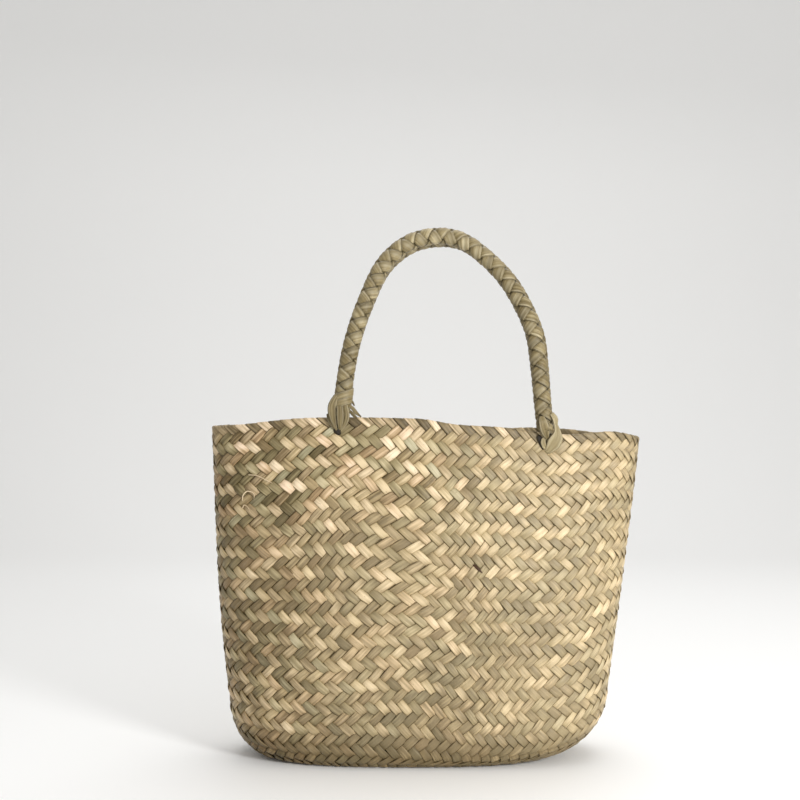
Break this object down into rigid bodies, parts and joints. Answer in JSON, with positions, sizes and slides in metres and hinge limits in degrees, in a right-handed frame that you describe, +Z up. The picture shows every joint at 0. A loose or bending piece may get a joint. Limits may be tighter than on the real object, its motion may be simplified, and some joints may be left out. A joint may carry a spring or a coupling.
{
  "type": "straw basket bag",
  "caption": "Upright plaited straw handbag with a flat base, soft rounded corners, a folded rim and braided round handles tied to the front and back walls.",
  "frame": {"origin": "on the floor under the middle of the bag's bounding box", "axes": "+Z up, +X to the right seen from the front, +Y from the front wall to the back wall"},
  "size_m": [0.3404, 0.108, 0.4184],
  "materials": {
    "basket_straw": "natural flat straw strands, satin, in olive, beige, cream and blush tones, plaited in a diagonal twill",
    "rim_straw": "natural straw strands folded over the edge, satin",
    "handle_straw": "olive-tan straw strands in a tight round braid, satin"
  },
  "bodies": {
    "root": {"basket_body": "basket_straw", "rim_fold": "rim_straw", "handle_front": "handle_straw", "handle_back": "handle_straw", "front_left_loop": "handle_straw", "front_right_loop": "handle_straw", "back_left_loop": "handle_straw", "back_right_loop": "handle_straw"}
  },
  "joints": []
}
